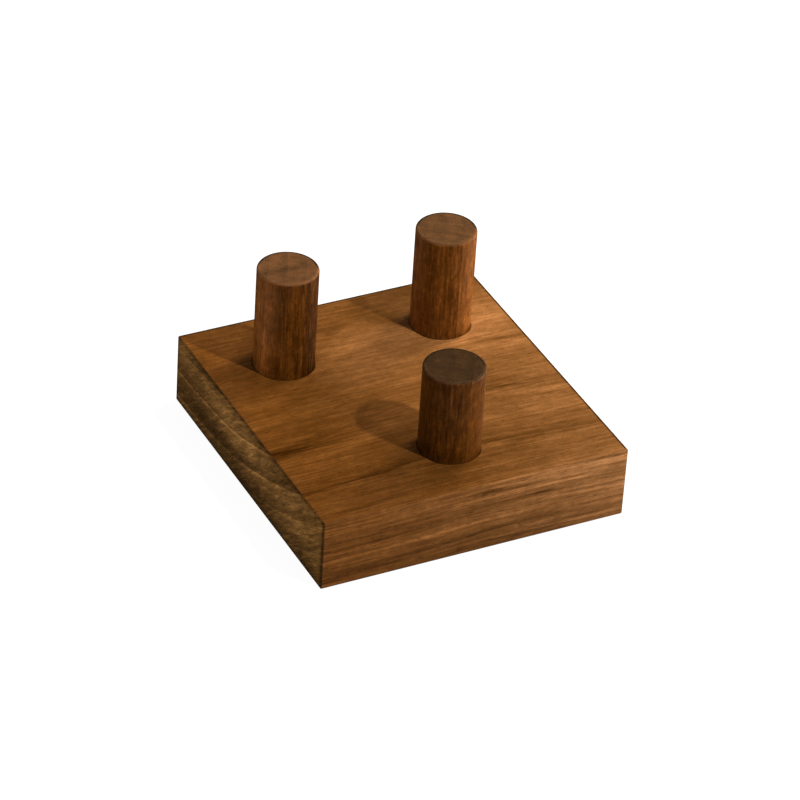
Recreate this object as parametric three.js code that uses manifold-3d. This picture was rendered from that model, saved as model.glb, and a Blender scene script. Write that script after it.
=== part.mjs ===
// Peg board of a tower of hanoi puzzle: a solid hardwood block with three dowel pegs glued into
// blind sockets, two at the back and a shorter one at the front.
// Millimetres, +Z up. The origin is the centre of the block's underside, +X runs to the right
// along the front edge, and +Y runs from the front edge to the back edge.

import * as THREE from "three";
import { mergeVertices } from "three/addons/utils/BufferGeometryUtils.js";
import Module from "manifold-3d";

const wasm = await Module();
wasm.setup();

const BOARD_COLOUR = "#8f5a2c";
const BACK_PEG_COLOUR = "#6a3a24";
const FRONT_PEG_COLOUR = "#4a2c1a";

// The block
const BOARD_WIDTH = 106;
const BOARD_DEPTH = 110.5;
const BOARD_THICKNESS = 25;
const CORNER_RADIUS = 1.2; // the four upright edges
const ARRIS_RADIUS = 0.8; // the edges around the top and the underside
const CORNER_STEPS = 3;
const ARRIS_STEPS = 4;

// The pegs are lengths of 20 mm dowel. height is what stands above the block.
const PEG_RADIUS = 10;
const PEG_TOP_RADIUS = 1.1; // rounding of the top edge
const PEG_LEAD = 1; // chamfer that leads the buried end into its socket
const PEG_STEPS = 64; // facets around a peg and its socket, which line up
const PEGS = [
  { name: "peg_back_left", x: -27.6, y: 28.7, height: 36.2, colour: BACK_PEG_COLOUR },
  { name: "peg_back_right", x: 29.7, y: 31, height: 36.4, colour: BACK_PEG_COLOUR },
  { name: "peg_front", x: 1.2, y: -32.2, height: 30.4, colour: FRONT_PEG_COLOUR },
];

// The sockets: flat-bottomed, with the dimple that the drill's centre point leaves
const SOCKET_DEPTH = 16;
const GLUE_GAP = 0.3; // between a peg and its socket, at the side and at the bottom
const DIMPLE_RADIUS = 1.5;
const DIMPLE_DEPTH = 1.2;
const SOCKET_OVERSHOOT = 2; // how far the cutter stands above the block's top

function woodMaterial(colour) {
  return new THREE.MeshStandardMaterial({
    color: colour,
    roughness: 0.55,
    metalness: 0,
    flatShading: true,
  });
}

function toSolid(geometry) {
  const bare = geometry.clone();
  bare.deleteAttribute("normal");
  bare.deleteAttribute("uv");
  const merged = mergeVertices(bare);
  return new wasm.Manifold(
    new wasm.Mesh({
      numProp: 3,
      vertProperties: new Float32Array(merged.attributes.position.array),
      triVerts: new Uint32Array(merged.index.array),
    }),
  );
}

function toGeometry(solid) {
  const mesh = solid.getMesh();
  const geometry = new THREE.BufferGeometry();
  geometry.setAttribute("position", new THREE.BufferAttribute(mesh.vertProperties, 3));
  geometry.setIndex(new THREE.BufferAttribute(mesh.triVerts, 1));
  geometry.computeVertexNormals();
  return geometry;
}

// A body of revolution about +Z from its profile of [radius, height] points, bottom to top.
function turned(profile) {
  const points = profile.map(([radius, height]) => new THREE.Vector2(radius, height));
  const geometry = new THREE.LatheGeometry(points, PEG_STEPS);
  return geometry.rotateX(Math.PI / 2);
}

// The block's outline, with its four upright edges rounded.
function boardOutline() {
  const x = BOARD_WIDTH / 2 - CORNER_RADIUS;
  const y = BOARD_DEPTH / 2 - CORNER_RADIUS;
  const outline = new THREE.Shape();
  outline.absarc(x, y, CORNER_RADIUS, 0, Math.PI / 2, false);
  outline.absarc(-x, y, CORNER_RADIUS, Math.PI / 2, Math.PI, false);
  outline.absarc(-x, -y, CORNER_RADIUS, Math.PI, 1.5 * Math.PI, false);
  outline.absarc(x, -y, CORNER_RADIUS, 1.5 * Math.PI, 2 * Math.PI, false);
  return outline;
}

function boardBlank() {
  const geometry = new THREE.ExtrudeGeometry(boardOutline(), {
    depth: BOARD_THICKNESS - 2 * ARRIS_RADIUS,
    curveSegments: CORNER_STEPS,
    bevelEnabled: true,
    bevelThickness: ARRIS_RADIUS,
    bevelSize: ARRIS_RADIUS,
    bevelOffset: -ARRIS_RADIUS,
    bevelSegments: ARRIS_STEPS,
  });
  return geometry.translate(0, 0, ARRIS_RADIUS);
}

// What the drill takes out of the block for one peg.
function socketCutter(peg) {
  const floor = BOARD_THICKNESS - SOCKET_DEPTH;
  const cutter = turned([
    [0, floor - DIMPLE_DEPTH],
    [DIMPLE_RADIUS, floor],
    [PEG_RADIUS + GLUE_GAP, floor],
    [PEG_RADIUS + GLUE_GAP, BOARD_THICKNESS + SOCKET_OVERSHOOT],
    [0, BOARD_THICKNESS + SOCKET_OVERSHOOT],
  ]);
  return cutter.translate(peg.x, peg.y, 0);
}

function baseBoard() {
  let solid = toSolid(boardBlank());
  for (const peg of PEGS) {
    solid = solid.subtract(toSolid(socketCutter(peg)));
  }
  const board = new THREE.Mesh(toGeometry(solid), woodMaterial(BOARD_COLOUR));
  board.name = "base_board";
  return board;
}

// One dowel, from its chamfered buried end to its rounded top edge. Its z = 0 is its lower end.
function pegProfile(length) {
  const profile = [
    [0, 0],
    [PEG_RADIUS - PEG_LEAD, 0],
    [PEG_RADIUS, PEG_LEAD],
  ];
  for (let step = 0; step <= ARRIS_STEPS; step += 1) {
    const angle = (step / ARRIS_STEPS) * (Math.PI / 2);
    profile.push([
      PEG_RADIUS - PEG_TOP_RADIUS * (1 - Math.cos(angle)),
      length - PEG_TOP_RADIUS * (1 - Math.sin(angle)),
    ]);
  }
  profile.push([0, length]);
  return profile;
}

function dowelPeg(peg) {
  const buried = SOCKET_DEPTH - GLUE_GAP;
  const mesh = new THREE.Mesh(turned(pegProfile(peg.height + buried)), woodMaterial(peg.colour));
  mesh.name = peg.name;
  mesh.position.set(peg.x, peg.y, BOARD_THICKNESS - buried);
  return mesh;
}

const hanoiPegBoard = new THREE.Group();
hanoiPegBoard.add(baseBoard());
for (const peg of PEGS) {
  hanoiPegBoard.add(dowelPeg(peg));
}

export default hanoiPegBoard;
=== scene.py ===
"""The looks of the tower of hanoi peg board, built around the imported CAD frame.

Metres, +Z up. Every piece's mesh is in the frame's own coordinates, with its object at the origin.
The board's wood grows along X and each peg's wood along Z. Wood sizes are in millimetres.
"""

import math

import bmesh
import bpy
from mathutils import Matrix, Vector


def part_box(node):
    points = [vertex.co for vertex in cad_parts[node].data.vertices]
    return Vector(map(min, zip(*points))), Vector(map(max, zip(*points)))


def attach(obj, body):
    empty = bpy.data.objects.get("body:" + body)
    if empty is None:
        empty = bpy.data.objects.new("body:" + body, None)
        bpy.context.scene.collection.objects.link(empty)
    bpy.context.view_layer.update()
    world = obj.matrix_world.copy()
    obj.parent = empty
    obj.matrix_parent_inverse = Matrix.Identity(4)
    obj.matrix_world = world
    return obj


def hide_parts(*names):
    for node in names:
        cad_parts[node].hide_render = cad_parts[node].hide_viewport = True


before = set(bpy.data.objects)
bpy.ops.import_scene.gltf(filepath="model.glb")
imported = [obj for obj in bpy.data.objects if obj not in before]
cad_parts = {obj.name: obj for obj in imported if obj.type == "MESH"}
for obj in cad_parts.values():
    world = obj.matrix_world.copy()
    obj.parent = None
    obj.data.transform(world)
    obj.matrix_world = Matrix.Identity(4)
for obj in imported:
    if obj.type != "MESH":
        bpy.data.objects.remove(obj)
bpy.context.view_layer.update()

MM = 0.001

# Camera: where it stands around the board's top face, and how far its aim lies from that centre.
CAMERA_AZIMUTH = math.radians(-28.331)
CAMERA_ELEVATION = math.radians(34.731)
CAMERA_ROLL = math.radians(3.808)
CAMERA_DISTANCE = 1.3941
CAMERA_AIM_RIGHT = 0.000047
CAMERA_AIM_UP = 0.002624
CAMERA_LENS_MM = 197.0

# Floor: half its width, how far it reaches in under the board, and how far it lies below the board.
FLOOR_REACH = 3.0
FLOOR_OVERLAP = 1.2 * MM
FLOOR_DROP = 0.05 * MM

# Floor paint and its glow, and the even sky.
WHITE = (1, 1, 1, 1)
FLOOR_GREY = (0.1, 0.1, 0.1, 1)
FLOOR_GLOW = 0.95
SKY_STRENGTH = 0.46

# Edges: an arris is a rounded edge. Its mark is full where the surface leans by FULL_LEAN degrees. A
# second mark, a darker line of painted shade, is on the arrises that face away from the camera, the way
# set below. The gains set how soon that painted shade is full as an arris turns that way, or upwards on a
# peg. Points nearer than SAME_POINT are one point.
ARRIS = 0.6 * MM
ARRIS_STEPS = 5
FULL_LEAN = 2.5
SHADED_RIM_WAY = Vector((0.47, 0.88))
SHADED_RIM_GAIN = 2.5
UPWARD_GAIN = 2.0
SAME_POINT = 1e-6

# Board mesh: a grid of cells, with a square collar round each peg and a drilled socket inside it. An
# edge cell is the narrow one beside a rounded edge, and the socket's wall has a ring of points where its
# upper part ends.
CELL = 2.0 * MM
EDGE_CELL = 0.5 * MM
COLLAR_HALF = 14.0 * MM
COLLAR_RINGS = 4
SOCKET_GAP = 0.05 * MM
SOCKET_MOUTH = 0.08 * MM
SOCKET_DEPTH = 16.0 * MM
SOCKET_UPPER = 4.0 * MM
SOCKET_FILLET = 0.2 * MM
DIMPLE_RADIUS = 1.5 * MM
DIMPLE_DEPTH = 1.2 * MM

# Peg mesh: a turned profile. PEG_RIM_FADE is how far down the side the rim's mark fades out, and the top
# rings are shares of the flat top's radius.
PEG_SEGMENTS = 160
PEG_SIDE_STEPS = 24
PEG_ARRIS = 0.8 * MM
PEG_ARRIS_STEPS = 8
PEG_LEAD = 1.0 * MM
PEG_RIM_FADE = 0.3 * MM
PEG_TOP_RINGS = (0.95, 0.8, 0.6, 0.4, 0.2)

# Wood colour: reds of tone 0 and tone 1, and how many shades there are from one to the other.
DARKEST_RED = 0.022
PALEST_RED = 0.46
SHADE_COUNT = 9

# Wood figure: how many features there are to a millimetre, along the grain, across it, or through the
# rings from the pith outwards (deep).
SWAY_ALONG = 0.012
SWAY_ACROSS = 0.022
BREAK_ALONG = 0.04
BREAK_DEEP = 0.12
LINE_DEEP = 0.80
LINE_SIDE = 0.02
FIBRE_ACROSS = 1.15
BLOTCH_ALONG = 0.20
BLOTCH_ACROSS = 0.26
SAW_ALONG = 0.12
SAW_ACROSS = 0.75
PORE_ALONG = 0.28
PORE_ACROSS = 2.6

# In millimetres: how far from their clearest ring the end grain's arcs stay clear, and where along the
# board the face colour starts and stops shifting: warmer at the left end as painted shade, and greyer at
# the right end as painted sheen.
ARC_REACH = 10.0
LIGHT_TINT_START = -60.0
LIGHT_TINT_STOP = 45.0

# Wood surface: the oil's shine, the roughness of flat wood and what each feature adds to it, the pores'
# colour, and the depth of the relief.
SHEEN = 0.085
FLAT_ROUGHNESS = 0.38
ARRIS_ROUGHNESS = 0.35
FIBRE_ROUGHNESS = 0.25
PORE_ROUGHNESS = 0.25
END_ROUGHNESS = 0.10
PORE_COLOUR = (0.34, 0.30, 0.27, 1)
PORE_STRENGTH = 0.6
PORE_DEPTH_MM = 0.05
FIBRE_DEPTH_MM = 0.08
LINE_DEPTH_MM = 0.05

# Pegs' wood: how far the pith lies from a peg's middle, in millimetres, and the way from it to the middle.
PEG_PITH_AWAY = 60.0
PEG_RING_WAY = Vector((0.880, -0.475, 0.0))


# ---------------------------------------------------------------- camera, floor, light


def view_axes(azimuth, elevation):
    """Unit vectors to the right, up and back of a camera that looks at the object from there."""
    back = Vector((
        math.sin(azimuth) * math.cos(elevation),
        -math.cos(azimuth) * math.cos(elevation),
        math.sin(elevation),
    ))
    right = Vector((0, 0, 1)).cross(back).normalized()
    return right, back.cross(right), back


def make_camera(top_centre):
    """A camera that looks almost at the centre of the board's top, rolled a little."""
    right, up, back = view_axes(CAMERA_AZIMUTH, CAMERA_ELEVATION)
    turned_right = right * math.cos(CAMERA_ROLL) + up * math.sin(CAMERA_ROLL)
    turned_up = up * math.cos(CAMERA_ROLL) - right * math.sin(CAMERA_ROLL)
    place = (
        top_centre
        + back * CAMERA_DISTANCE
        - turned_right * CAMERA_AIM_RIGHT
        - turned_up * CAMERA_AIM_UP
    )
    data = bpy.data.cameras.new("camera")
    data.lens = CAMERA_LENS_MM
    data.sensor_width = 36.0
    camera = bpy.data.objects.new("camera", data)
    axes = Matrix((turned_right, turned_up, back)).transposed()
    camera.matrix_world = Matrix.Translation(place) @ axes.to_4x4()
    bpy.context.scene.collection.objects.link(camera)
    bpy.context.scene.camera = camera


def make_floor(low, high):
    """A wide glowing floor, open under the board so that its underside can be seen from below."""
    mesh = bpy.data.meshes.new("floor")
    corners = []
    for x, y in ((FLOOR_REACH, FLOOR_REACH), (high.x - FLOOR_OVERLAP, high.y - FLOOR_OVERLAP)):
        corners += [(-x, -y), (x, -y), (x, y), (-x, y)]
    mesh.from_pydata(
        [(x, y, low.z - FLOOR_DROP) for x, y in corners],
        [],
        [(k, (k + 1) % 4, (k + 1) % 4 + 4, k + 4) for k in range(4)],
    )
    floor = bpy.data.objects.new("floor", mesh)
    bpy.context.scene.collection.objects.link(floor)
    material = bpy.data.materials.new("floor_paint")
    material.use_nodes = True
    shader = material.node_tree.nodes["Principled BSDF"]
    shader.inputs["Base Color"].default_value = FLOOR_GREY
    shader.inputs["Emission Color"].default_value = WHITE
    shader.inputs["Emission Strength"].default_value = FLOOR_GLOW
    shader.inputs["Roughness"].default_value = 0.9
    shader.inputs["Specular IOR Level"].default_value = 0.0
    mesh.materials.append(material)
    floor.visible_glossy = False


def area_light(name, azimuth, elevation, distance, size, watts, colour, glossy=True):
    """A round lamp that shines at the frame's origin, and may be left out of reflections."""
    _, _, back = view_axes(math.radians(azimuth), math.radians(elevation))
    data = bpy.data.lights.new(name, "AREA")
    data.shape = "DISK"
    data.size = size
    data.energy = watts
    data.color = colour
    light = bpy.data.objects.new(name, data)
    light.location = back * distance
    light.rotation_euler = back.to_track_quat("Z", "Y").to_euler()
    light.visible_camera = False
    light.visible_glossy = glossy
    bpy.context.scene.collection.objects.link(light)


def make_light():
    """A key lamp at the front right, two lamps close to the right end, and an even sky."""
    area_light(
        "key", azimuth=29, elevation=52, distance=1.6, size=0.08, watts=23.0, colour=(1.0, 0.97, 0.92)
    )
    area_light(
        "side", azimuth=112, elevation=30, distance=0.32, size=0.16, watts=1.7, colour=(1.0, 0.96, 0.90),
        glossy=False,
    )
    area_light(
        "low", azimuth=80, elevation=4, distance=0.25, size=0.03, watts=0.6, colour=(1.0, 0.96, 0.90)
    )
    world = bpy.data.worlds.new("studio")
    bpy.context.scene.world = world
    world.use_nodes = True
    backdrop = world.node_tree.nodes["Background"]
    backdrop.inputs["Color"].default_value = WHITE
    backdrop.inputs["Strength"].default_value = SKY_STRENGTH
    world.cycles_visibility.glossy = False
    bpy.context.scene.view_settings.view_transform = "Standard"


# ---------------------------------------------------------------- mesh helpers


def mark_arris(mesh, turned):
    """Marks each point from 1, where its normal leans on an arris, to 0 on the faces that it joins.

    A turned piece is round from above, so its normal leans only when it is neither level nor upright.
    The second attribute is the same mark as painted shade, kept to the arrises that face away from the
    camera. On a turned piece it also fades where the arris turns down to the upright side.
    """
    marks, shaded_marks = [], []
    for vertex in mesh.vertices:
        n = vertex.normal
        level = math.hypot(n.x, n.y) if turned else max(abs(n.x), abs(n.y))
        lean = math.degrees(math.acos(min(1.0, max(level, abs(n.z)))))
        mark = min(1.0, lean / FULL_LEAN)
        towards = SHADED_RIM_GAIN * n.xy.normalized().dot(SHADED_RIM_WAY)
        upward = UPWARD_GAIN * n.z if turned else 1.0
        marks.append(mark)
        shaded_marks.append(mark * min(1.0, max(0.0, towards)) * min(1.0, max(0.0, upward)))
    mesh.attributes.new("arris", "FLOAT", "POINT").data.foreach_set("value", marks)
    mesh.attributes.new("painted_shade_rim", "FLOAT", "POINT").data.foreach_set("value", shaded_marks)


def finish_mesh(build, name, material, turned):
    """One smooth-shaded, welded piece from a bmesh."""
    bmesh.ops.remove_doubles(build, verts=build.verts, dist=SAME_POINT)
    bmesh.ops.recalc_face_normals(build, faces=build.faces)
    mesh = bpy.data.meshes.new(name)
    build.to_mesh(mesh)
    build.free()
    mesh.polygons.foreach_set("use_smooth", [True] * len(mesh.polygons))
    mark_arris(mesh, turned)
    mesh.materials.append(material)
    piece = bpy.data.objects.new(name, mesh)
    bpy.context.scene.collection.objects.link(piece)
    return piece


def ring_of(build, centre, radius, z, directions):
    """New points at one height and distance from the centre, one in each direction."""
    return [
        build.verts.new((centre.x + radius * d.x, centre.y + radius * d.y, z))
        for d in directions
    ]


def join_rings(build, first, second):
    """A band of faces between two rings with as many points."""
    count = len(first)
    for i in range(count):
        j = (i + 1) % count
        build.faces.new((first[i], first[j], second[j], second[i]))


def close_ring(build, ring, point):
    """A fan of faces from a ring to a point."""
    centre = build.verts.new(point)
    for i in range(len(ring)):
        build.faces.new((ring[i], ring[(i + 1) % len(ring)], centre))


# ---------------------------------------------------------------- board


def grid_lines(low, high, stops):
    """Positions across one side of the board: fine at the rounded edges, even cells between stops."""
    fine = [ARRIS * math.tan(math.radians(45) * k / ARRIS_STEPS) for k in range(ARRIS_STEPS + 1)]
    inner_low, inner_high = low + ARRIS, high - ARRIS
    lines = [inner_low - f for f in reversed(fine)]
    lines += [inner_high + f for f in fine]
    marks = sorted([inner_low, inner_high, inner_low + EDGE_CELL, inner_high - EDGE_CELL, *stops])
    for a, b in zip(marks, marks[1:]):
        steps = max(1, round((b - a) / CELL))
        lines += [a + (b - a) * k / steps for k in range(steps + 1)]
    kept = []
    for value in sorted(lines):
        if not kept or value - kept[-1] > SAME_POINT:
            kept.append(value)
    return kept


def soften(point, low, high):
    """Moves a point of the sharp box onto the box with rounded edges."""
    inner = Vector([min(max(point[i], low[i] + ARRIS), high[i] - ARRIS) for i in range(3)])
    return inner + (point - inner).normalized() * ARRIS


def add_sheet(build, us, vs, place, skip=None):
    """One face of the board as a grid. place puts (u, v) in space, and skip leaves cells out."""
    rows = [[build.verts.new(place(u, v)) for u in us] for v in vs]
    for j in range(len(vs) - 1):
        for i in range(len(us) - 1):
            if skip and skip((us[i] + us[i + 1]) / 2, (vs[j] + vs[j + 1]) / 2):
                continue
            build.faces.new((rows[j][i], rows[j][i + 1], rows[j + 1][i + 1], rows[j + 1][i]))


def square_loop(xs, ys, centre):
    """The grid points around a peg's square, counter-clockwise."""
    x0, x1 = centre.x - COLLAR_HALF, centre.x + COLLAR_HALF
    y0, y1 = centre.y - COLLAR_HALF, centre.y + COLLAR_HALF
    across = [x for x in xs if x0 - SAME_POINT < x < x1 + SAME_POINT]
    along = [y for y in ys if y0 - SAME_POINT < y < y1 + SAME_POINT]
    loop = [(x, y0) for x in across[:-1]]
    loop += [(x1, y) for y in along[:-1]]
    loop += [(x, y1) for x in reversed(across[1:])]
    loop += [(x0, y) for y in reversed(along[1:])]
    return loop


def add_socket(build, xs, ys, centre, radius, top):
    """The board's top around one peg, and the socket that the peg is glued in."""
    loop = square_loop(xs, ys, centre)
    directions = [(Vector((x, y, 0)) - centre).normalized() for x, y in loop]
    mouth = radius + SOCKET_MOUTH
    last = [build.verts.new((x, y, top)) for x, y in loop]
    for k in range(1, COLLAR_RINGS + 1):
        # t goes from 0 at the square to 1 at the mouth, in smaller and smaller steps.
        t = k / COLLAR_RINGS
        t = t * (2 - t)
        points = [
            (x * (1 - t) + (centre.x + d.x * mouth) * t, y * (1 - t) + (centre.y + d.y * mouth) * t, top)
            for (x, y), d in zip(loop, directions)
        ]
        ring = [build.verts.new(p) for p in points]
        join_rings(build, last, ring)
        last = ring
    floor = top - SOCKET_DEPTH
    profile = [
        (radius, top - SOCKET_MOUTH),
        (radius, top - SOCKET_UPPER),
        (radius, floor + SOCKET_FILLET),
        (radius - SOCKET_FILLET, floor),
        (DIMPLE_RADIUS, floor),
    ]
    for r, z in profile:
        ring = ring_of(build, centre, r, z, directions)
        join_rings(build, last, ring)
        last = ring
    close_ring(build, last, (centre.x, centre.y, floor - DIMPLE_DEPTH))


def make_board(pegs, material):
    """The rounded block with its sockets. pegs gives each peg's centre and radius."""
    low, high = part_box("base_board")
    stops_x, stops_y = [], []
    for centre, _ in pegs.values():
        stops_x += [centre.x - COLLAR_HALF, centre.x + COLLAR_HALF]
        stops_y += [centre.y - COLLAR_HALF, centre.y + COLLAR_HALF]
    xs = grid_lines(low.x, high.x, stops_x)
    ys = grid_lines(low.y, high.y, stops_y)
    zs = grid_lines(low.z, high.z, [])

    def in_collar(x, y):
        return any(
            abs(x - centre.x) < COLLAR_HALF and abs(y - centre.y) < COLLAR_HALF
            for centre, _ in pegs.values()
        )

    build = bmesh.new()
    add_sheet(build, xs, ys, lambda u, v: soften(Vector((u, v, high.z)), low, high), in_collar)
    add_sheet(build, xs, ys, lambda u, v: soften(Vector((u, v, low.z)), low, high))
    add_sheet(build, xs, zs, lambda u, v: soften(Vector((u, low.y, v)), low, high))
    add_sheet(build, xs, zs, lambda u, v: soften(Vector((u, high.y, v)), low, high))
    add_sheet(build, ys, zs, lambda u, v: soften(Vector((low.x, u, v)), low, high))
    add_sheet(build, ys, zs, lambda u, v: soften(Vector((high.x, u, v)), low, high))
    for centre, radius in pegs.values():
        add_socket(build, xs, ys, centre, radius + SOCKET_GAP, high.z)
    return finish_mesh(build, "walnut_board", material, turned=False)


# ---------------------------------------------------------------- pegs


def peg_profile(radius, bottom, top):
    """(radius, height) from the centre of the buried end up to the centre of the top."""
    points = [(radius / 2, bottom), (radius - PEG_LEAD, bottom), (radius, bottom + PEG_LEAD)]
    straight = top - PEG_ARRIS - bottom - PEG_LEAD
    for k in range(1, PEG_SIDE_STEPS):
        points.append((radius, bottom + PEG_LEAD + straight * k / PEG_SIDE_STEPS))
    points.append((radius, top - PEG_ARRIS - PEG_RIM_FADE))
    for k in range(PEG_ARRIS_STEPS + 1):
        angle = math.radians(90) * k / PEG_ARRIS_STEPS
        points.append((
            radius - PEG_ARRIS * (1 - math.cos(angle)),
            top - PEG_ARRIS * (1 - math.sin(angle)),
        ))
    flat = radius - PEG_ARRIS
    points += [(flat * share, top) for share in PEG_TOP_RINGS]
    return points


def make_peg(name, node, material):
    """A dowel turned about the middle of its CAD node's box."""
    low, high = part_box(node)
    centre = (low + high) / 2
    radius = (high.x - low.x) / 2
    turns = [math.tau * k / PEG_SEGMENTS for k in range(PEG_SEGMENTS)]
    directions = [Vector((math.cos(turn), math.sin(turn), 0)) for turn in turns]
    build = bmesh.new()
    profile = peg_profile(radius, low.z, high.z)
    rings = [ring_of(build, centre, r, z, directions) for r, z in profile]
    for lower, upper in zip(rings, rings[1:]):
        join_rings(build, lower, upper)
    close_ring(build, rings[-1], (centre.x, centre.y, high.z))
    close_ring(build, rings[0], (centre.x, centre.y, low.z))
    return finish_mesh(build, name, material, turned=True)


# ---------------------------------------------------------------- wood


class Shading:
    """One material, and short ways to add nodes to it. A value is a number, a colour or a socket."""

    def __init__(self, name):
        self.material = bpy.data.materials.new(name)
        self.material.use_nodes = True
        self.tree = self.material.node_tree
        self.shader = self.tree.nodes["Principled BSDF"]

    def put(self, socket, value):
        if isinstance(value, bpy.types.NodeSocket):
            self.tree.links.new(value, socket)
        else:
            socket.default_value = value

    def math(self, operation, *values):
        node = self.tree.nodes.new("ShaderNodeMath")
        node.operation = operation
        for socket, value in zip(node.inputs, values):
            self.put(socket, value)
        return node.outputs[0]

    def add(self, *values):
        total = values[0]
        for value in values[1:]:
            total = self.math("ADD", total, value)
        return total

    def take(self, a, b):
        return self.math("SUBTRACT", a, b)

    def times(self, *values):
        total = values[0]
        for value in values[1:]:
            total = self.math("MULTIPLY", total, value)
        return total

    def vector(self, operation, *values):
        node = self.tree.nodes.new("ShaderNodeVectorMath")
        node.operation = operation
        for socket, value in zip(node.inputs, values):
            self.put(socket, value)
        return node.outputs["Value" if operation == "DOT_PRODUCT" else "Vector"]

    def point(self, x, y, z):
        node = self.tree.nodes.new("ShaderNodeCombineXYZ")
        for socket, value in zip(node.inputs, (x, y, z)):
            self.put(socket, value)
        return node.outputs[0]

    def split(self, vector):
        node = self.tree.nodes.new("ShaderNodeSeparateXYZ")
        self.put(node.inputs[0], vector)
        return node.outputs

    def noise(self, position, detail=2.0, roughness=0.5, distortion=0.0):
        """Smooth noise around 0, mostly from -0.25 to 0.25, with features about one unit across."""
        node = self.tree.nodes.new("ShaderNodeTexNoise")
        self.put(node.inputs["Vector"], position)
        node.inputs["Scale"].default_value = 1.0
        node.inputs["Detail"].default_value = detail
        node.inputs["Roughness"].default_value = roughness
        node.inputs["Distortion"].default_value = distortion
        return self.take(node.outputs[0], 0.5)

    def random(self, number):
        """A random value from 0 to 1 for each whole number."""
        node = self.tree.nodes.new("ShaderNodeTexWhiteNoise")
        node.noise_dimensions = "1D"
        self.put(node.inputs["W"], number)
        return node.outputs["Value"]

    def span(self, value, low, high, to_low=0.0, to_high=1.0):
        """A smooth step: to_low where value is under low, and to_high where it is over high."""
        node = self.tree.nodes.new("ShaderNodeMapRange")
        node.interpolation_type = "SMOOTHSTEP"
        for socket, number in zip(node.inputs, (value, low, high, to_low, to_high)):
            self.put(socket, number)
        return node.outputs[0]

    def hill(self, position, centre, reach):
        """1 at the centre, and nearly 0 at twice the reach from it."""
        away = self.vector("DIVIDE", self.vector("SUBTRACT", position, centre), reach)
        return self.math("EXPONENT", self.times(self.vector("DOT_PRODUCT", away, away), -1.0))

    def ramp(self, factor, colours):
        """Evenly spaced colours, joined by straight lines."""
        node = self.tree.nodes.new("ShaderNodeValToRGB")
        elements = node.color_ramp.elements
        while len(elements) < len(colours):
            elements.new(0.5)
        for k, colour in enumerate(colours):
            elements[k].position = k / (len(colours) - 1)
            elements[k].color = (*colour, 1)
        self.put(node.inputs[0], factor)
        return node.outputs[0]

    def mix(self, factor, a, b, blend="MIX"):
        node = self.tree.nodes.new("ShaderNodeMix")
        node.data_type = "RGBA"
        node.blend_type = blend
        sockets = [s for s in node.inputs if s.enabled]
        for socket, value in zip(sockets, (factor, a, b)):
            self.put(socket, value)
        return next(s for s in node.outputs if s.enabled)

    def attribute(self, name):
        node = self.tree.nodes.new("ShaderNodeAttribute")
        node.attribute_name = name
        return node.outputs["Fac"]

    def bump(self, height, millimetres, before=None):
        """Surface relief: height from 0 to 1 stands for that many millimetres."""
        node = self.tree.nodes.new("ShaderNodeBump")
        node.inputs["Distance"].default_value = millimetres * MM
        node.inputs["Strength"].default_value = 1.0
        self.put(node.inputs["Height"], height)
        if before is not None:
            self.put(node.inputs["Normal"], before)
        return node.outputs[0]


def shades(green, blue):
    """Wood colours for tones 0 to 1. green and blue are their (dark, pale) shares of the red."""
    colours = []
    for k in range(SHADE_COUNT):
        t = k / (SHADE_COUNT - 1)
        red = DARKEST_RED * (PALEST_RED / DARKEST_RED) ** t
        colours.append((
            red,
            red * (green[0] * (1 - t) + green[1] * t),
            red * (blue[0] * (1 - t) + blue[1] * t),
        ))
    return colours


class Log:
    """How a piece lay in its tree, and the tone of its wood: 0 is nearly black and 1 is tan.

    The grain runs along one axis, and pith is the middle of the tree in the other two directions.
    Depth is the distance from the pith. A streak is (along, depth, length, width, tone), and a
    patch is (centre, reach, tone) with both in the object's own x, y and z. Some patches, and some
    streaks on the pegs, are painted light and shade rather than wood.
    """

    def __init__(self, **facts):
        self.grain = "X"
        self.pith = (0.0, 0.0)
        self.ring = 9.0
        self.first_ring = 0.0
        self.wander = 1.6
        self.bow = 0.0
        self.bow_centre = 0.0
        self.bow_reach = 34.0
        self.tone = 0.5
        self.end_tone = 0.5
        self.ring_tone = 0.05
        self.line_tone = 0.10
        self.end_ring_tone = 0.05
        self.end_fine_tone = 0.0
        self.arc_tone = 0.03
        self.arc_depth = 0.0
        self.line_pitch = 0.018
        self.fibre_pitch = 0.055
        self.fine_tone = 0.65
        self.fibre_tone = 0.46
        self.mottle_tone = 0.45
        self.saw_tone = 1.10
        self.saw_angle = 36.0
        self.rim_tone = 0.0
        # Painted shade: how much darker the rims away from the camera are.
        self.painted_shade_rim_tone = -0.55
        # Painted shade and sheen: the face colour at the left and at the right end.
        self.low_light_tint = (1.0, 1.0, 1.0)
        self.high_light_tint = (1.0, 1.0, 1.0)
        self.patches = ()
        self.end_patches = ()
        self.streaks = ()
        self.face_shades = ()
        self.end_shades = ()
        self.seed = 0.0
        for key, value in facts.items():
            setattr(self, key, value)


class Lie:
    """How a shaded point lies in its log, as sockets in millimetres and shares of its normal.

    facing is how far it faces along the grain, radius is its distance from the pith, and outward is
    how far it faces away from the pith.
    """

    def __init__(self, s, log):
        place = s.tree.nodes.new("ShaderNodeTexCoord")
        self.spot = s.vector("DIVIDE", place.outputs["Object"], (MM, MM, MM))
        x, y, z = s.split(self.spot)
        normal = s.split(place.outputs["Normal"])
        if log.grain == "X":
            self.along, self.side, self.rise = x, y, z
            facing, side_facing, rise_facing = normal
        else:
            self.along, self.side, self.rise = z, x, y
            side_facing, rise_facing, facing = normal
        self.facing = s.math("ABSOLUTE", facing)
        out_side, out_rise = s.take(self.side, log.pith[0]), s.take(self.rise, log.pith[1])
        self.radius = s.math("SQRT", s.add(s.times(out_side, out_side), s.times(out_rise, out_rise)))
        outward = s.add(s.times(out_side, side_facing), s.times(out_rise, rise_facing))
        self.outward = s.math("DIVIDE", outward, self.radius)


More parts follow.
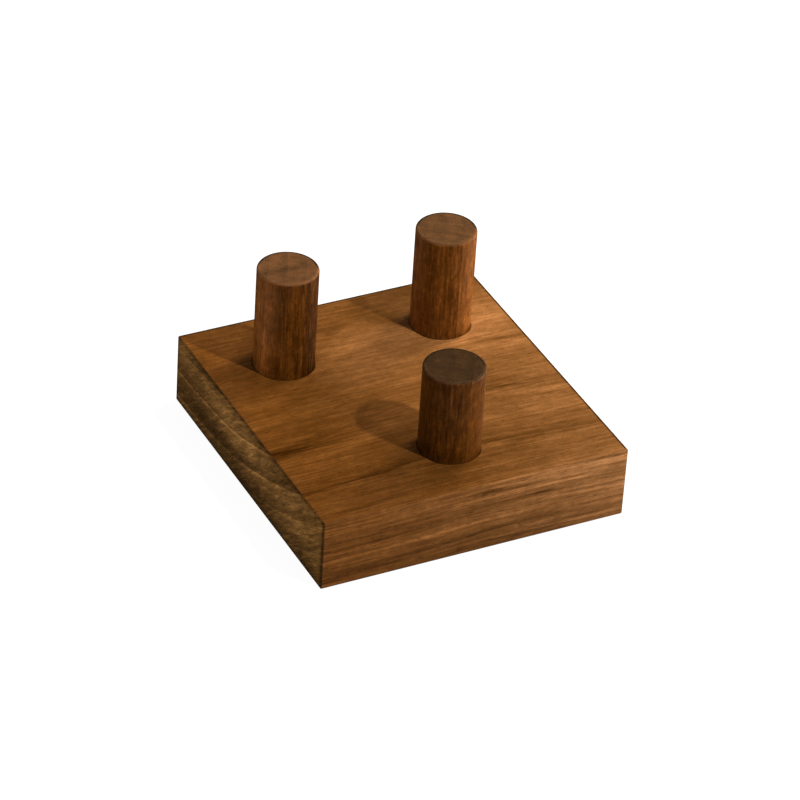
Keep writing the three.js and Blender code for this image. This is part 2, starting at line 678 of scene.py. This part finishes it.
def bent_depth(s, log, lie):
    """The distance from the pith, which sways and bends as the trunk does."""
    slow = s.point(
        s.add(s.times(lie.along, SWAY_ALONG), log.seed),
        s.times(lie.side, SWAY_ACROSS),
        s.times(lie.rise, SWAY_ACROSS),
    )
    sway = s.times(s.noise(slow, 2.0, 0.45), 2 * log.wander)
    bend = s.hill(s.point(lie.along, 0.0, 0.0), (log.bow_centre, 0.0, 0.0), (log.bow_reach, 1.0, 1.0))
    straighter = s.span(lie.radius, log.first_ring + 8.0, log.first_ring + 18.0, 1.0, 0.4)
    return s.add(lie.radius, sway, s.times(bend, straighter, log.bow))


class Figure:
    """The wood's marks at a shaded point, as sockets: rings, thin lines, fibres and blotches."""

    def __init__(self, s, log, lie):
        self.depth = bent_depth(s, log, lie)
        self.add_rings(s, log, lie)
        self.add_texture(s, log, lie)

    def add_rings(self, s, log, lie):
        """Each growth ring darkens to a dark line, and the next one starts with a pale line."""
        phase = s.math("DIVIDE", s.take(self.depth, log.first_ring), log.ring)
        whole = s.math("FLOOR", phase)
        part = s.math("FRACT", phase)
        strength = s.add(s.random(s.add(whole, log.seed)), 0.4)
        self.late = s.times(s.span(part, 0.30, 0.96, 0.5, -0.5), strength)
        self.dark_line = s.times(s.span(part, 0.88, 0.96), s.span(part, 0.975, 1.0, 1.0, 0.0))
        self.pale_line = s.times(s.span(part, 0.0, 0.03), s.span(part, 0.06, 0.14, 1.0, 0.0))
        gaps = s.point(s.times(lie.along, BREAK_ALONG), s.times(self.depth, BREAK_DEEP), log.seed + 4.0)
        self.broken = s.span(s.noise(gaps, 2.0), -0.08, 0.16)

    def add_texture(self, s, log, lie):
        """Thin lines that follow the rings, fibres that follow the grain, and uneven blotches."""
        lines = s.point(
            s.times(self.depth, LINE_DEEP),
            s.times(lie.along, log.line_pitch),
            s.add(s.times(lie.side, LINE_SIDE), log.seed),
        )
        fibres = s.point(
            s.add(s.times(lie.along, log.fibre_pitch), log.seed),
            s.times(lie.side, FIBRE_ACROSS),
            s.times(lie.rise, FIBRE_ACROSS),
        )
        blotches = s.point(
            s.times(lie.along, BLOTCH_ALONG),
            s.times(lie.side, BLOTCH_ACROSS),
            s.add(s.times(lie.rise, BLOTCH_ACROSS), log.seed),
        )
        self.fine = s.noise(lines, 4.0, 0.72)
        self.fibre = s.noise(fibres, 3.0, 0.72)
        self.mottle = s.noise(blotches, 5.0, 0.88)


def face_tone(s, log, lie, figure):
    """The tone of a face along the grain. Thin lines show less where it lies along the rings."""
    crossing = s.take(1.35, s.times(lie.outward, lie.outward, 0.88))
    tone = s.add(
        log.tone,
        s.times(figure.late, log.ring_tone),
        s.times(figure.dark_line, figure.broken, -log.line_tone),
        s.times(figure.pale_line, figure.broken, 0.25 * log.arc_tone),
        s.times(figure.fine, crossing, log.fine_tone),
        s.times(figure.fibre, log.fibre_tone),
        s.times(figure.mottle, log.mottle_tone),
    )
    ragged = s.span(s.add(figure.fine, figure.fibre), -0.16, 0.14, 1.3, 0.5)
    for at, level, length, width, change in log.streaks:
        mark = s.hill(s.point(lie.along, figure.depth, 0.0), (at, level, 0.0), (length, width, 1.0))
        tone = s.add(tone, s.times(mark, ragged, change))
    return add_patches(s, tone, lie, log.patches)


def end_tone(s, log, lie, figure):
    """The tone of end grain: pale arcs at the rings, under slanting marks of the saw and the sander."""
    slant = math.radians(log.saw_angle)
    saw_along = s.take(s.times(lie.rise, math.sin(slant)), s.times(lie.side, math.cos(slant)))
    saw_across = s.add(s.times(lie.side, math.sin(slant)), s.times(lie.rise, math.cos(slant)))
    scratches = s.point(s.times(saw_along, SAW_ALONG), s.times(saw_across, SAW_ACROSS), log.seed)
    clearest = (log.arc_depth, 0.0, 0.0)
    clear = s.hill(s.point(figure.depth, 0.0, 0.0), clearest, (ARC_REACH, 1.0, 1.0))
    arcs = s.times(
        figure.pale_line,
        s.add(s.times(figure.broken, 0.5), 0.5),
        s.add(s.times(clear, 0.85), 0.15),
        log.arc_tone,
    )
    tone = s.add(
        log.end_tone,
        s.times(figure.late, log.end_ring_tone),
        arcs,
        s.times(figure.fine, log.end_fine_tone),
        s.times(s.noise(scratches, 4.0, 0.75, 0.6), log.saw_tone),
        s.times(figure.mottle, 0.6 * log.mottle_tone),
    )
    return add_patches(s, tone, lie, log.end_patches)


def add_patches(s, tone, lie, patches):
    """The tone with soft round patches added to it."""
    for centre, reach, change in patches:
        tone = s.add(tone, s.times(s.hill(lie.spot, centre, reach), change))
    return tone


def wood(name, log):
    """Oiled hardwood made from one log's rings, fibres and pores, so it runs through the whole piece. Some
    of its tone is painted light and shade.
    """
    s = Shading(name)
    lie = Lie(s, log)
    figure = Figure(s, log, lie)
    arris = s.attribute("arris")
    end = s.span(lie.facing, 0.25, 0.8)

    # Edges beside the end grain are a little darker, or on the pegs paler as a painted highlight, and the
    # rims away from the camera are the darkest, as painted shade.
    rim = s.add(
        s.times(arris, s.span(lie.facing, 0.08, 0.40), log.rim_tone),
        s.times(s.attribute("painted_shade_rim"), log.painted_shade_rim_tone),
    )
    # Painted shade and sheen: the face colour is warmer towards the left end and greyer towards the right.
    light_tint = s.mix(
        s.span(lie.along, LIGHT_TINT_START, LIGHT_TINT_STOP), (*log.low_light_tint, 1), (*log.high_light_tint, 1)
    )
    face_colour = s.ramp(s.add(face_tone(s, log, lie, figure), rim), log.face_shades)
    end_colour = s.ramp(s.add(end_tone(s, log, lie, figure), rim), log.end_shades)
    colour = s.mix(end, s.mix(1.0, face_colour, light_tint, "MULTIPLY"), end_colour)

    # Pores: open vessels, long along the grain and round on the end.
    vessels = s.point(
        s.times(lie.along, PORE_ALONG),
        s.times(lie.side, PORE_ACROSS),
        s.times(lie.rise, PORE_ACROSS),
    )
    pore = s.span(s.noise(vessels, 1.0, 0.4), 0.15, 0.24)
    colour = s.mix(s.times(pore, PORE_STRENGTH), colour, PORE_COLOUR, "MULTIPLY")

    rough = s.add(
        FLAT_ROUGHNESS,
        s.times(arris, ARRIS_ROUGHNESS),
        s.times(figure.fibre, FIBRE_ROUGHNESS),
        s.times(pore, PORE_ROUGHNESS),
        s.times(end, END_ROUGHNESS),
    )
    relief = s.bump(s.take(1.0, pore), PORE_DEPTH_MM)
    relief = s.bump(figure.fibre, FIBRE_DEPTH_MM, relief)
    relief = s.bump(figure.fine, LINE_DEPTH_MM, relief)
    s.put(s.shader.inputs["Base Color"], colour)
    s.put(s.shader.inputs["Roughness"], rough)
    s.put(s.shader.inputs["Normal"], relief)
    s.shader.inputs["Specular IOR Level"].default_value = SHEEN
    return s.material


BOARD_LOG = Log(
    grain="X",
    pith=(55.0, 216.0),
    ring=9.0,
    first_ring=195.2,
    wander=1.1,
    bow=3.5,
    bow_centre=4.0,
    bow_reach=34.0,
    tone=0.50,
    end_tone=0.515,
    end_ring_tone=0.13,
    end_fine_tone=0.33,
    arc_tone=0.16,
    arc_depth=208.5,
    rim_tone=-0.15,
    # Painted shade at the left end and painted sheen at the right end.
    low_light_tint=(1.0, 0.90, 0.56),
    high_light_tint=(1.0, 1.03, 1.02),
    # Most patches are the wood's own tone; the ones noted below are partly painted light and shade.
    patches=(
        ((-4.0, 24.0, 25.0), (20.0, 15.0, 40.0), 0.24),
        ((35.0, 28.0, 25.0), (26.0, 17.0, 40.0), 0.28),
        # Partly painted light: a lit strip beside the back right peg's shadow.
        ((4.0, 56.0, 25.0), (11.0, 12.0, 40.0), 0.20),
        ((0.0, -5.0, 25.0), (22.0, 22.0, 40.0), 0.11),
        ((56.0, -5.0, 25.0), (22.0, 40.0, 40.0), 0.11),
        ((36.0, -28.0, 25.0), (26.0, 12.0, 40.0), 0.09),
        ((-38.0, -40.0, 25.0), (22.0, 12.0, 12.0), 0.05),
        ((-48.0, 58.0, 25.0), (26.0, 18.0, 40.0), 0.15),
        ((-50.0, 16.0, 25.0), (14.0, 20.0, 40.0), 0.10),
        # Partly painted shadow: deeper shade to the front left of the front peg.
        ((-5.0, -45.0, 25.0), (11.0, 9.0, 8.0), -0.12),
        ((-14.0, -26.0, 25.0), (10.0, 10.0, 12.0), -0.08),
        ((-46.0, -10.0, 25.0), (12.0, 6.0, 12.0), 0.06),
        ((8.0, 30.0, 25.0), (8.0, 8.0, 40.0), -0.06),
        ((-53.0, 42.0, 25.0), (8.0, 9.0, 12.0), -0.09),
        # Painted light: this lightens the back left peg's shadow.
        ((-40.0, 44.0, 25.0), (7.0, 8.0, 12.0), 0.06),
        # Partly painted light: the front face is paler, most of all towards its right end, near the lamps.
        ((0.0, -62.0, 14.0), (140.0, 10.0, 30.0), 0.14),
        ((60.0, -62.0, 18.0), (48.0, 10.0, 24.0), 0.30),
        ((22.0, -57.0, 23.0), (50.0, 3.0, 2.5), 0.16),
        # Painted shade: the front face darker towards the bottom.
        ((-40.0, -55.0, 4.0), (50.0, 30.0, 8.0), -0.11),
        ((20.0, -55.0, -4.0), (60.0, 30.0, 8.0), -0.10),
    ),
    end_patches=(
        ((-53.0, 12.0, 18.0), (80.0, 28.0, 8.0), 0.22),
        ((-53.0, -33.0, 12.0), (80.0, 20.0, 9.0), 0.17),
        ((-53.0, 52.0, 24.0), (80.0, 9.0, 5.0), 0.24),
        ((-53.0, -52.0, 23.0), (80.0, 8.0, 6.0), 0.12),
        ((-53.0, -23.0, 19.0), (80.0, 10.0, 8.0), -0.08),
        ((-53.0, -41.0, 4.0), (80.0, 8.0, 4.0), -0.10),
        ((-53.0, 8.0, 4.0), (80.0, 12.0, 4.0), -0.06),
        ((-53.0, 48.0, 3.0), (80.0, 10.0, 4.0), 0.10),
        ((-53.0, 34.0, 9.0), (80.0, 20.0, 4.0), -0.17),
        # Painted shade: the left end darker towards the bottom.
        ((-53.0, 0.0, -3.0), (80.0, 90.0, 8.0), -0.22),
        ((-53.0, 30.0, 26.0), (80.0, 50.0, 3.0), -0.08),
        ((-53.0, -55.3, 12.0), (80.0, 1.3, 60.0), -0.25),
        ((-53.0, 55.3, 12.0), (80.0, 1.3, 60.0), -0.25),
        # Painted shade: a dark line along the left end's bottom edge.
        ((-53.0, 0.0, 0.0), (80.0, 200.0, 1.2), -0.20),
    ),
    streaks=(
        (-48.0, 204.6, 10.0, 0.5, -0.42),
        (-36.0, 204.0, 16.0, 1.3, -0.13),
        (-43.0, 213.1, 20.0, 0.45, -0.30),
        (-44.0, 214.6, 16.0, 0.3, -0.14),
        (30.0, 213.6, 15.0, 0.35, -0.18),
        (36.0, 211.8, 12.0, 0.3, -0.14),
        (33.0, 203.4, 8.0, 0.35, -0.16),
        (43.0, 196.2, 10.0, 0.4, -0.14),
        (5.0, 225.0, 11.0, 0.6, -0.26),
        (24.0, 229.0, 9.0, 0.5, -0.24),
        (7.0, 237.5, 6.0, 0.5, -0.24),
        (-14.0, 234.3, 40.0, 0.5, 0.24),
    ),
    face_shades=shades((0.32, 0.42), (0.0, 0.15)),
    end_shades=shades((0.39, 0.47), (0.02, 0.11)),
    seed=1.0,
)


def peg_wood(name, centre, tone, end_tone, streaks, seed, end_patches=()):
    """Wood for a dowel, with places measured from its middle.

    A streak is (place along the ring way, width, tone), and an end patch is (place, reach, tone) with
    both in x and y.
    """
    pith = centre / MM - PEG_RING_WAY * PEG_PITH_AWAY
    return wood(name, Log(
        grain="Z",
        pith=(pith.x, pith.y),
        ring=6.0,
        first_ring=PEG_PITH_AWAY - 30.0,
        wander=0.5,
        tone=tone,
        end_tone=end_tone,
        ring_tone=0.05,
        line_tone=0.05,
        arc_tone=0.03,
        line_pitch=0.04,
        fibre_pitch=0.12,
        fine_tone=0.55,
        fibre_tone=0.75,
        mottle_tone=0.85,
        saw_tone=0.40,
        # Paler rims on the pegs: a painted highlight.
        rim_tone=0.08,
        streaks=tuple((20.0, PEG_PITH_AWAY + at, 60.0, width, change) for at, width, change in streaks),
        end_patches=tuple(
            ((centre.x / MM + out[0], centre.y / MM + out[1], 0.0), (*reach, 500.0), change)
            for out, reach, change in end_patches
        ),
        face_shades=shades((0.28, 0.33), (0.0, 0.07)),
        end_shades=shades((0.52, 0.34), (0.19, 0.11)),
        seed=seed,
    ))


# ---------------------------------------------------------------- put together


board_low, board_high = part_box("base_board")
make_camera(Vector((0, 0, board_high.z)))
make_floor(board_low, board_high)
make_light()

pegs = {}
for node in ("peg_back_left", "peg_back_right", "peg_front"):
    low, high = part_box(node)
    middle = (low + high) / 2
    pegs[node] = (Vector((middle.x, middle.y, 0)), (high.x - low.x) / 2)

board = make_board(pegs, wood("board_walnut", BOARD_LOG))
left_wood = peg_wood(
    "left_walnut", pegs["peg_back_left"][0], tone=0.37, end_tone=0.50, seed=11.0,
    streaks=((-6.9, 4.4, 0.50), (9.2, 3.2, -0.27), (3.4, 1.6, 0.07)),
    end_patches=(((-2.0, -0.5), (8.0, 1.5), -0.13), ((-3.0, 4.5), (6.0, 2.0), 0.06)),
)
right_wood = peg_wood(
    "right_walnut", pegs["peg_back_right"][0], tone=0.52, end_tone=0.41, seed=23.0,
    # Partly painted sheen: the pale streak at 9.5, on the side to the camera's right.
    streaks=((-8.0, 2.5, 0.18), (-0.8, 1.2, 0.09), (9.5, 3.0, 0.07)),
)
front_wood = peg_wood(
    "front_walnut", pegs["peg_front"][0], tone=0.29, end_tone=0.16, seed=37.0,
    # Partly painted sheen: the pale streak at 7.8, on the side to the camera's right.
    streaks=((7.8, 3.2, 0.17), (-9.8, 1.0, 0.10)),
)
pieces = (
    (board, "base_board", "board_wood"),
    (make_peg("back_left_dowel", "peg_back_left", left_wood), "peg_back_left", "peg_wood"),
    (make_peg("back_right_dowel", "peg_back_right", right_wood), "peg_back_right", "peg_wood"),
    (make_peg("front_dowel", "peg_front", front_wood), "peg_front", "peg_wood"),
)
for piece, node, slot in pieces:
    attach(piece, "root")
    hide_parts(node)
